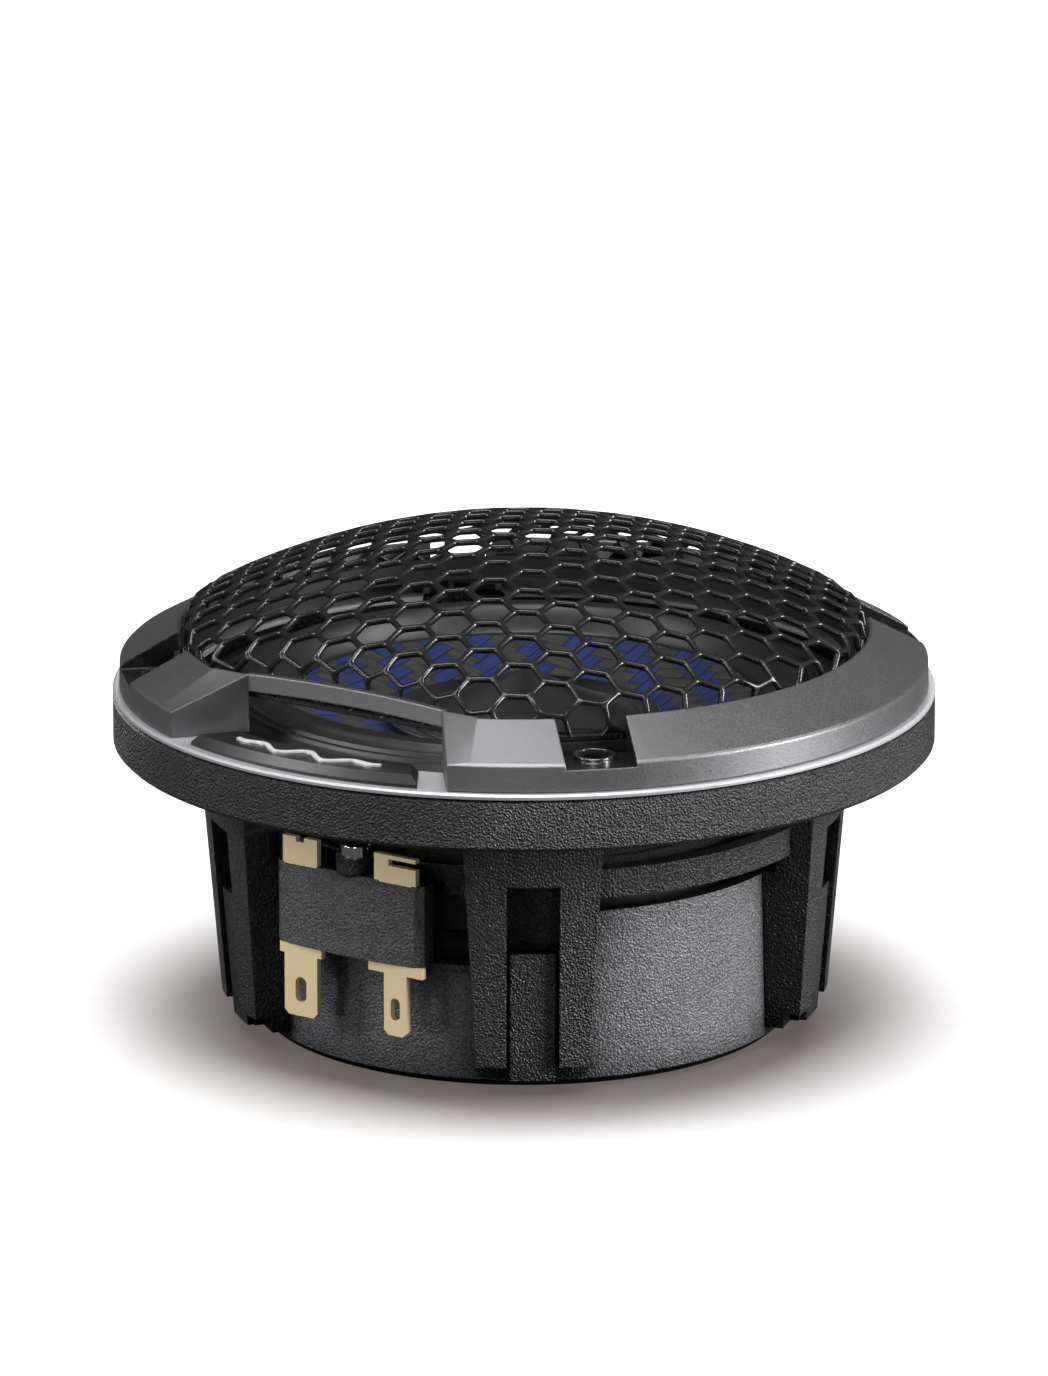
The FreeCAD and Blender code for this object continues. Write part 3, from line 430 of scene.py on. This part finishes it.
MATERIALS = {
    "basket_polymer": pebbled_plastic("basket_polymer", (0.010, 0.0102, 0.0106), 0.27, 0.32, 0.40),
    "cover_polymer": pebbled_plastic("cover_polymer", (0.072, 0.073, 0.078), 0.27, 0.17, 0.36),
    "block_polymer": pebbled_plastic("block_polymer", (0.055, 0.055, 0.057), 0.25, 0.15, 0.38),
    "black_screw": fine_metal("black_screw", (0.03, 0.03, 0.03), 0.4, edge_mm=0.08),
    "plated_steel": fine_metal("plated_steel", (0.04, 0.04, 0.04), 0.42),
    "ferrite": pebbled_plastic("ferrite", (0.012, 0.012, 0.013), 0.3, 0.01, 0.5),
    "copper": wound_copper("copper"),
    "satin_ring": spun_metal("satin_ring", (0.37, 0.375, 0.39), 0.42, 0.12, 0.0012, 0.55, 0.4),
    "badge_black": rubber("badge_black", (0.0035, 0.0035, 0.0038), 0.38, 0.2, 0.002, 0.10),
    "bright_emblem": fine_metal("bright_emblem", (0.75, 0.75, 0.77), 0.35, 0.6, edge_mm=0.06),
    "clamp_black": rubber("clamp_black", (0.004, 0.004, 0.004), 0.5, edge_mm=0.08),
    "surround_rubber": rubber("surround_rubber", (0.007, 0.007, 0.0075), 0.46, 0.24, 0.015),
    "woven_cone": twill("woven_cone"),
    "turned_dark": spun_metal("turned_dark", (0.10, 0.10, 0.105), 0.33, 0.22, 0.006, 1.0, 0.75),
    "former_foil": fine_metal("former_foil", (0.5, 0.5, 0.5), 0.35),
    "spider_cloth": cloth("spider_cloth", (0.02, 0.017, 0.014)),
    "braid": fine_metal("braid", (0.40, 0.22, 0.13), 0.38, edge_mm=0.0),
    "tab_metal": fine_metal("tab_metal", (0.80, 0.62, 0.38), 0.45, 0.25, edge_mm=0.08),
    "chrome_screw": fine_metal("chrome_screw", (0.72, 0.72, 0.74), 0.14, edge_mm=0.06),
    "gunmetal_frame": grille_paint("gunmetal_frame"),
    "mesh_black": fine_metal("mesh_black", (0.012, 0.012, 0.0125), 0.27, 0.3, edge_mm=0.0),
}


def paint(obj, material):
    obj.data.materials.clear()
    obj.data.materials.append(MATERIALS[material])
    return obj


def dress(node, material):
    obj = NODES[node]
    for i in range(len(obj.material_slots)):
        obj.material_slots[i].material = MATERIALS[material]


# ---------------------------------------------------------------- grille mesh
HEX_PITCH = 5.12
MESH_RISE = 10.5
MESH_SHOULDER = 1.5
MESH_FLAT = 36.4
CORNER_STEPS = 4
HOLE_CORNER = 0.75
# half width and depth of the wire's section, from its crown to its underside
WIRE_HALF = 0.33
WIRE_SECTION = (
    (0.10, 0.0), (0.22, 0.05), (0.31, 0.20), (WIRE_HALF, 0.40), (0.31, 0.62), (0.20, 0.76), (0.08, 0.80))


def mesh_edge(angle):
    """Plan radius of the mesh: a circle with a flat front behind the window bar."""
    ahead = math.cos(angle)
    return min(MESH_R, MESH_FLAT / ahead) if ahead > 0.5 else MESH_R


def dome_point(x, y, depth):
    """Lay a flat lattice point on the dome, over its shoulder and down its skirt."""
    ball_r = (MESH_R ** 2 + MESH_RISE ** 2) / (2 * MESH_RISE)
    ball_z = MESH_APEX - ball_r
    s = math.hypot(x, y)
    edge = mesh_edge(math.atan2(x, -y))
    # the shoulder is an arc inside the corner between the ball and the skirt
    centre_r = edge - MESH_SHOULDER
    centre_z = ball_z + math.sqrt((ball_r - MESH_SHOULDER) ** 2 - centre_r ** 2)
    lean = math.asin(centre_r / (ball_r - MESH_SHOULDER))
    start_s = ball_r * math.sin(lean)
    arc_len = MESH_SHOULDER * (math.pi / 2 - lean)
    if s <= start_s:
        normal_r, normal_z = s / ball_r, math.sqrt(1 - (s / ball_r) ** 2)
        r, z = s, ball_z + ball_r * normal_z
    elif s <= start_s + arc_len:
        angle = lean + (s - start_s) / MESH_SHOULDER
        normal_r, normal_z = math.sin(angle), math.cos(angle)
        r, z = centre_r + MESH_SHOULDER * normal_r, centre_z + MESH_SHOULDER * normal_z
    else:
        normal_r, normal_z = 1.0, 0.0
        r, z = edge, centre_z - (s - start_s - arc_len)
    r -= depth * normal_r
    z -= depth * normal_z
    k = r / s if s > 1e-9 else 0
    return (x * k, y * k, z)


def hole_ring(cx, cy, half_wire):
    """Flat outline of one hexagon hole with rounded corners, six arcs of points."""
    flat_half = HEX_PITCH / 2 - half_wire
    corner = HOLE_CORNER - half_wire + WIRE_HALF
    reach = (flat_half - corner) / math.cos(math.radians(30))
    arcs = []
    for k in range(6):
        heading = math.radians(60 * k + 30)
        mx, my = cx + reach * math.cos(heading), cy + reach * math.sin(heading)
        arc = []
        for step in range(CORNER_STEPS + 1):
            a = heading + math.radians(-30 + 60 * step / CORNER_STEPS)
            arc.append((mx + corner * math.cos(a), my + corner * math.sin(a)))
        arcs.append(arc)
    return arcs


def lattice_cells():
    """Centres of the hexagons that reach the skirt."""
    row_step = HEX_PITCH * math.cos(math.radians(30))
    rows = int(54 / row_step)
    centres = []
    for row in range(-rows, rows + 1):
        shift = 0.5 if row % 2 == 0 else 0.0
        for column in range(-rows - 2, rows + 3):
            cx, cy = (column + shift) * HEX_PITCH, row * row_step
            if math.hypot(cx, cy) < mesh_edge(math.atan2(cx, -cy)) + 8.5:
                centres.append((cx, cy))
    return centres


def make_grille_mesh():
    points = []
    faces = []
    cells = {}
    for cx, cy in lattice_cells():
        rings = []
        for half_wire, depth in WIRE_SECTION:
            arcs = []
            for arc in hole_ring(cx, cy, half_wire):
                arcs.append(list(range(len(points), len(points) + len(arc))))
                points += [dome_point(x, y, depth) for x, y in arc]
            rings.append(arcs)
        cells[(round(cx, 3), round(cy, 3))] = rings
        for upper, lower in zip(rings, rings[1:]):
            a, b = sum(upper, []), sum(lower, [])
            for k in range(len(a)):
                n = (k + 1) % len(a)
                faces.append([a[k], a[n], b[n], b[k]])

    def neighbour(cx, cy, k):
        a = math.radians(60 * k)
        x, y = cx + HEX_PITCH * math.cos(a), cy + HEX_PITCH * math.sin(a)
        return cells.get((round(x, 3), round(y, 3)))

    for (cx, cy), rings in cells.items():
        for level in (0, -1):
            own = rings[level]
            for k in range(3):
                other = neighbour(cx, cy, k)
                if other:
                    other = other[level]
                    near, far = other[(k + 3) % 6], other[(k + 2) % 6]
                    faces.append([own[k - 1][-1], near[0], far[-1], own[k][0]])
            for k in (0, 1):
                first, second = neighbour(cx, cy, k), neighbour(cx, cy, k + 1)
                if first and second:
                    faces.append(own[k] + second[level][(k + 4) % 6] + first[level][(k + 2) % 6])
    obj = mesh_object("grille_mesh_wires", points, faces)
    bm = bmesh.new()
    bm.from_mesh(obj.data)
    bmesh.ops.recalc_face_normals(bm, faces=bm.faces)
    geometry = bm.verts[:] + bm.edges[:] + bm.faces[:]
    cut_at = (0, 0, (MESH_LOW + 0.5) * MM)
    bmesh.ops.bisect_plane(bm, geom=geometry, plane_co=cut_at, plane_no=(0, 0, 1), clear_inner=True)
    open_edges = [edge for edge in bm.edges if edge.is_boundary]
    bmesh.ops.holes_fill(bm, edges=open_edges, sides=0)
    bmesh.ops.recalc_face_normals(bm, faces=bm.faces)
    bm.to_mesh(obj.data)
    bm.free()
    obj.data.shade_smooth()
    obj.data.set_sharp_from_angle(angle=math.radians(50))
    paint(obj, "mesh_black")
    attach(obj, "grille")
    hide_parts("grille_mesh")
    out, back = MESH_R - 0.02, MESH_R - 0.86
    top = MESH_LOW + 0.8
    hem = lathe("grille_mesh_hem", [
        (out, MESH_LOW + 0.1), (out, top - 0.2), (out - 0.15, top), (back + 0.15, top),
        (back, top - 0.2), (back, MESH_LOW + 0.1), (back + 0.1, MESH_LOW), (out - 0.1, MESH_LOW)],
        360, shift=lambda angle: mesh_edge(angle) - MESH_R)
    paint(hem, "mesh_black")
    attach(hem, "grille")


# ---------------------------------------------------------------- moving system
NECK_R = COIL_R + 0.05
NECK_Z = 0.93
CONE_T = 0.4


def cone_height(r):
    return NECK_Z + (CONE_EDGE_Z - NECK_Z) * (r - NECK_R) / (CONE_EDGE_R - NECK_R)


def weave_height(x, y):
    """Relief of the twill, 0 in the gaps and 1 on the crown of a tow."""
    u, v = (x - TOW_START_X) / TOW_MM, (y - TOW_START_Y) / TOW_MM
    phase = np.mod(np.floor(u) + np.floor(v), 4)
    blue = phase > 1.5
    fu, fv = u - np.floor(u), v - np.floor(v)
    across = np.where(blue, fu, fv)
    along = np.where(blue, (fv + phase - 2) / 2, (fu + phase) / 2)
    return np.sqrt(np.clip(np.sin(np.pi * across), 0, 1)) * np.clip(np.sin(np.pi * along), 0, 1) ** 0.4


def make_cone():
    ring_step = 0.2
    segments = 840
    radii = np.arange(NECK_R, CONE_EDGE_R + 0.01, ring_step)
    angles = np.linspace(0, 2 * np.pi, segments, endpoint=False)
    r, a = np.meshgrid(radii, angles, indexing="ij")
    x, y = r * np.sin(a), -r * np.cos(a)
    z = cone_height(r) + 0.07 * (weave_height(x, y) - 0.85)
    points = [tuple(p) for p in np.stack([x, y, z], -1).reshape(-1, 3)]
    rings = len(radii)
    faces = []
    for i in range(rings - 1):
        for k in range(segments):
            n = (k + 1) % segments
            near, far = i * segments, (i + 1) * segments
            faces.append([near + k, near + n, far + n, far + k])
    # plain back, joined at the lip and the neck
    lip_top = surround_height(CONE_LIP_R) - SURROUND_T - 0.05
    back = [(CONE_EDGE_R, lip_top), (CONE_LIP_R, lip_top), (CONE_LIP_R, lip_top - CONE_T),
            (CONE_EDGE_R + 0.05, lip_top - CONE_T - 0.1), (NECK_R, NECK_Z - CONE_T)]
    for radius, height in back:
        for angle in angles:
            points.append((radius * math.sin(angle), -radius * math.cos(angle), height))
    last = rings - 1
    for step in range(len(back)):
        for k in range(segments):
            n = (k + 1) % segments
            a0 = last * segments if step == 0 else (rings + step - 1) * segments
            b0 = (rings + step) * segments
            faces.append([a0 + k, a0 + n, b0 + n, b0 + k])
    for k in range(segments):
        n = (k + 1) % segments
        b0 = (rings + len(back) - 1) * segments
        faces.append([b0 + k, b0 + n, n, k])
    obj = mesh_object("woven_cone", points, faces)
    fix_normals(obj)
    obj.data.set_sharp_from_angle(angle=math.radians(40))
    paint(obj, "woven_cone")
    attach(obj, "diaphragm")
    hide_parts("cone")


SURROUND_T = 0.45
SURROUND_RIM_R = 38.9
SURROUND_RIM_Z = 4.5
CONE_LIP_R = 29.2
ROLL_CREST_R = 32.1
ROLL_INNER_HALF = 2.8
ROLL_OUTER_HALF = 6.6
ROLL_RISE = 3.3
SURROUND_RIDGES = ((33.6, 0.75, 0.28), (35.15, 0.45, 0.3), (35.8, 0.4, 0.22), (38.2, 0.5, 0.3))


def surround_height(r):
    """Top of the surround: a flat glued band, one tall roll and the ridges on it."""
    share = (r - CONE_EDGE_R) / (SURROUND_RIM_R - CONE_EDGE_R)
    height = CONE_EDGE_Z + share * (SURROUND_RIM_Z - CONE_EDGE_Z)
    away = (r - ROLL_CREST_R) / (ROLL_OUTER_HALF if r > ROLL_CREST_R else ROLL_INNER_HALF)
    if abs(away) < 1:
        height += ROLL_RISE * math.cos(away * math.pi / 2) ** 1.3
    for centre, half, rise in SURROUND_RIDGES:
        away = abs(r - centre) / half
        if away < 1:
            height += rise * math.cos(away * math.pi / 2) ** 2
    return height


def make_surround():
    steps = 110
    inner = CONE_EDGE_R + 0.05
    radii = [inner + i * (SURROUND_RIM_R - inner) / steps for i in range(steps + 1)]
    upper = [(r, surround_height(r)) for r in radii]
    seat_z = 4.0
    rim_top = seat_z + SURROUND_T
    step_r = SURROUND_RIM_R + 0.1
    rim = [(step_r, rim_top), (SURROUND_R, rim_top), (SURROUND_R, seat_z), (step_r, seat_z)]
    lower = [(r, z - SURROUND_T) for r, z in reversed(upper)]
    obj = lathe("surround_rolls", upper + rim + lower, 256)
    paint(obj, "surround_rubber")
    blend_radially(obj)
    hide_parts("surround")


def make_spider():
    rolls = 7
    t = 0.4
    mid = SPIDER_TOP - 0.55
    roll_in, roll_out = COIL_R + 1.05, 30.7
    steps = rolls * 14
    upper = [(COIL_R + 0.05, mid + 0.1)]
    for i in range(steps + 1):
        r = roll_in + (roll_out - roll_in) * i / steps
        upper.append((r, mid + 0.55 * math.sin(2 * math.pi * rolls * i / steps)))
    rim_low = -7.98
    rim_in = roll_out + 0.3
    rim = [(rim_in, rim_low + t), (SPIDER_R, rim_low + t), (SPIDER_R, rim_low), (rim_in, rim_low)]
    lower = [(r, z - t) for r, z in reversed(upper[1:])]
    lower.append((COIL_R + 0.05, mid - 1.0))
    obj = lathe("spider_cloth_disc", upper + rim + lower, 200)
    paint(obj, "spider_cloth")
    blend_radially(obj)
    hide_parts("spider")


def make_dust_cap():
    """Turned conical cap: fine real grooves and a thin lip."""
    edge_z = 2.45
    slope_steps = 130
    profile = [(0, CAP_TIP_Z)]
    for i in range(1, slope_steps + 1):
        r = (CAP_R - 0.25) * i / slope_steps
        z = CAP_TIP_Z + (edge_z - CAP_TIP_Z) * (r / CAP_R)
        profile.append((r, z - (0.012 if i % 2 else 0.0)))
    foot_z = 1.2
    profile += [
        (CAP_R - 0.05, edge_z - 0.02), (CAP_R, edge_z - 0.12), (CAP_R, foot_z + 0.12),
        (CAP_R - 0.5, foot_z), (CAP_R - 0.5, edge_z - 0.4), (0, CAP_TIP_Z - 0.6)]
    obj = lathe("turned_dust_cap", profile, 256, closed=False, sharp_angle=50)
    paint(obj, "turned_dark")
    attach(obj, "diaphragm")
    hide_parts("dust_cap")


def tube(path, radius, sides, twist=0.0, offset=0.0, phase=0.0):
    """Points and faces of a tube along path, optionally wound round it."""
    path = [Vector(p) for p in path]
    points, faces = [], []
    up = Vector((0, 0, 1))
    for i, p in enumerate(path):
        ahead = path[min(i + 1, len(path) - 1)] - path[max(i - 1, 0)]
        ahead.normalize()
        side = ahead.cross(up).normalized()
        over = side.cross(ahead)
        turn = twist * i + phase
        centre = p + offset * (side * math.cos(turn) + over * math.sin(turn))
        for k in range(sides):
            a = 2 * math.pi * k / sides
            points.append(tuple(centre + radius * (side * math.cos(a) + over * math.sin(a))))
    for i in range(len(path) - 1):
        for k in range(sides):
            n = (k + 1) % sides
            faces.append([i * sides + k, i * sides + n, (i + 1) * sides + n, (i + 1) * sides + k])
    faces.append(list(range(sides))[::-1])
    faces.append([(len(path) - 1) * sides + k for k in range(sides)])
    return points, faces


def spline(knots, steps):
    """Smooth path through the knots (Catmull-Rom)."""
    knots = [Vector(k) for k in knots]
    knots = [2 * knots[0] - knots[1]] + knots + [2 * knots[-1] - knots[-2]]
    path = []
    for i in range(1, len(knots) - 2):
        a, b, c, d = knots[i - 1:i + 3]
        for k in range(steps):
            t = k / steps
            path.append(0.5 * ((2 * b) + (c - a) * t + (2 * a - 5 * b + 4 * c - d) * t ** 2
                               + (3 * b - a - 3 * c + d) * t ** 3))
    path.append(knots[-2])
    return path


def make_lead(side, name, node):
    """Braided lead: four strands wound about the path from the tab to the cone."""
    path = spline([
        (side * 6.6, -36.1, -5.7), (side * 6.6, -31.5, -5.0), (side * 6.2, -25.5, -3.6),
        (side * 5.6, -19.5, -1.6), (side * 5.2, -16.2, 0.35)], 22)
    points, faces = [], []
    for strand in range(4):
        p, f = tube(path, 0.23, 8, 0.5, 0.21, strand * math.pi / 2)
        faces += [[v + len(points) for v in face] for face in f]
        points += p
    obj = mesh_object(name, points, faces)
    fix_normals(obj)
    paint(obj, "braid")
    blend_by(obj)
    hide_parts(node)


# ---------------------------------------------------------------- CAD nodes that stay
def dress_cad():
    dress("basket", "basket_polymer")
    dress("motor_cover", "cover_polymer")
    dress("cover_screws", "black_screw")
    dress("top_plate", "plated_steel")
    dress("magnet", "ferrite")
    dress("t_yoke", "plated_steel")
    dress("shorting_sleeve", "copper")
    dress("motor_screws", "black_screw")
    dress("trim_ring", "satin_ring")
    dress("badge", "badge_black")
    dress("badge_emblem", "bright_emblem")
    dress("surround_clamp_ring", "clamp_black")
    dress("dust_cap_ring", "turned_dark")
    dress("voice_coil_former", "former_foil")
    dress("voice_coil_winding", "copper")
    dress("terminal_block", "block_polymer")
    dress("terminal_tab_positive", "tab_metal")
    dress("terminal_tab_negative", "tab_metal")
    dress("terminal_screw", "chrome_screw")
    dress("grille_frame", "gunmetal_frame")
    dress("mesh_retainer", "clamp_black")


# ---------------------------------------------------------------- studio
CAMERA_AZIMUTH = 34.4
CAMERA_ELEVATION = 15.6
CAMERA_DISTANCE = 1.0
CAMERA_LENS = 215
AIM = Vector((0, 0, 0.006))
WORLD_FILL = 0.04
FLOOR_SIZE = 12.0
SHADE_R = 0.16                # the floor starts turning to pure white here
WHITE_R = 0.45
SHADE_GLOW = (0.115, 0.098, 0.093)


def facing(azimuth, elevation):
    """Unit vector towards an azimuth turned from -Y to +X, and an elevation."""
    a = math.radians(azimuth)
    e = math.radians(elevation)
    return Vector((math.sin(a) * math.cos(e), -math.cos(a) * math.cos(e), math.sin(e)))


def aim(obj, direction):
    obj.rotation_mode = "QUATERNION"
    obj.rotation_quaternion = direction.to_track_quat("-Z", "Y")


def softbox(name, azimuth, elevation, distance, width, height, watts):
    """Rectangular lamp that looks at the origin."""
    back = facing(azimuth, elevation)
    light = bpy.data.lights.new(name, "AREA")
    light.shape = "RECTANGLE"
    light.size = width
    light.size_y = height
    light.energy = watts
    lamp = bpy.data.objects.new(name, light)
    lamp.location = back * distance
    aim(lamp, -back)
    lamp.visible_camera = False
    bpy.context.scene.collection.objects.link(lamp)
    return lamp


def group(name, objects):
    """Collection that a lamp's light can be limited to."""
    collection = bpy.data.collections.new(name)
    for obj in objects:
        collection.objects.link(obj)
    return collection


def make_floor():
    """Pale floor, dim for every ray that does not come from the camera."""
    mesh = bpy.data.meshes.new("floor")
    z = BASE_Z * MM
    half = FLOOR_SIZE / 2
    points = [(-half, -half, z), (half, -half, z), (half, half, z), (-half, half, z)]
    mesh.from_pydata(points, [], [(0, 1, 2, 3)])
    floor = new_object("floor", mesh)
    n = Nodes("floor_paper")
    tone = n.mix(n.noise(300, 3.0), (0.78, 0.78, 0.78), (0.82, 0.82, 0.82))
    # a little warm light of its own near the speaker, and paper white further out
    far = n.remap(n.radius(), SHADE_R, WHITE_R, 0.0, 1.0)
    glow = n.mix(far, SHADE_GLOW, (1.0, 1.0, 1.0))
    n.finish(Base_Color=tone, Roughness=0.8, Specular_IOR_Level=0.1, Emission_Color=glow,
             Emission_Strength=1.0)
    dim = n.add("ShaderNodeBsdfDiffuse", Color=(0.05, 0.05, 0.05, 1))
    ray = n.tree.nodes.new("ShaderNodeLightPath")
    chooser = n.tree.nodes.new("ShaderNodeMixShader")
    n.feed(chooser.inputs[0], ray.outputs["Is Camera Ray"])
    n.feed(chooser.inputs[1], dim.outputs[0])
    n.feed(chooser.inputs[2], n.shader.outputs[0])
    n.feed(n.tree.nodes["Material Output"].inputs["Surface"], chooser.outputs[0])
    floor.data.materials.append(n.material)
    return floor


def make_world():
    """White to the camera and dim to everything else."""
    world = bpy.data.worlds.new("studio")
    bpy.context.scene.world = world
    world.use_nodes = True
    tree = world.node_tree
    background = tree.nodes["Background"]
    background.inputs[0].default_value = (1, 1, 1, 1)
    ray = tree.nodes.new("ShaderNodeLightPath")
    strength = tree.nodes.new("ShaderNodeMapRange")
    strength.inputs["To Min"].default_value = WORLD_FILL
    strength.inputs["To Max"].default_value = 1.0
    tree.links.new(ray.outputs["Is Camera Ray"], strength.inputs["Value"])
    tree.links.new(strength.outputs["Result"], background.inputs[1])


def make_lights(floor):
    all_but_floor = group("all_but_floor", [floor])
    all_but_floor.collection_objects[0].light_linking.link_state = "EXCLUDE"
    floor_only = group("floor_only", [floor])
    ring_only = group("ring_only", [NODES["trim_ring"]])
    body_only = group("body_only", [NODES[node] for node in ("basket", "motor_cover", "cover_screws")])
    # name, azimuth, elevation, distance, width, height, watts, what it lights
    boxes = (
        ("top_box", 10, 80, 0.7, 0.45, 0.30, 5, all_but_floor),
        ("left_box", -45, 30, 0.7, 0.15, 0.5, 4, all_but_floor),
        ("low_left_box", -20, 6, 0.8, 0.10, 0.12, 1.2, all_but_floor),
        ("right_box", 108, 20, 0.7, 0.18, 0.5, 14, all_but_floor),
        ("front_box", 30, 10, 0.9, 0.25, 0.12, 1.2, all_but_floor),
        ("ring_box", 205, 17, 0.8, 0.5, 0.10, 0.9, ring_only),
        ("rear_box", 238, 14, 0.8, 0.3, 0.3, 4, body_only),
        ("floor_box", 0, 89.9, 1.2, 0.95, 0.95, 31, floor_only))
    for *shape, lit in boxes:
        softbox(*shape).light_linking.receiver_collection = lit


def make_camera():
    data = bpy.data.cameras.new("camera")
    data.lens = CAMERA_LENS
    data.sensor_width = 36
    data.clip_start = 0.01
    data.clip_end = 20
    camera = bpy.data.objects.new("camera", data)
    bpy.context.scene.collection.objects.link(camera)
    back = facing(CAMERA_AZIMUTH, CAMERA_ELEVATION)
    camera.location = AIM + back * CAMERA_DISTANCE
    aim(camera, -back)
    bpy.context.scene.camera = camera
    bpy.context.scene.view_settings.view_transform = "Standard"


dress_cad()
make_grille_mesh()
make_cone()
make_surround()
make_spider()
make_dust_cap()
make_lead(-1, "braided_lead_positive", "lead_positive")
make_lead(1, "braided_lead_negative", "lead_negative")
make_world()
make_lights(make_floor())
make_camera()
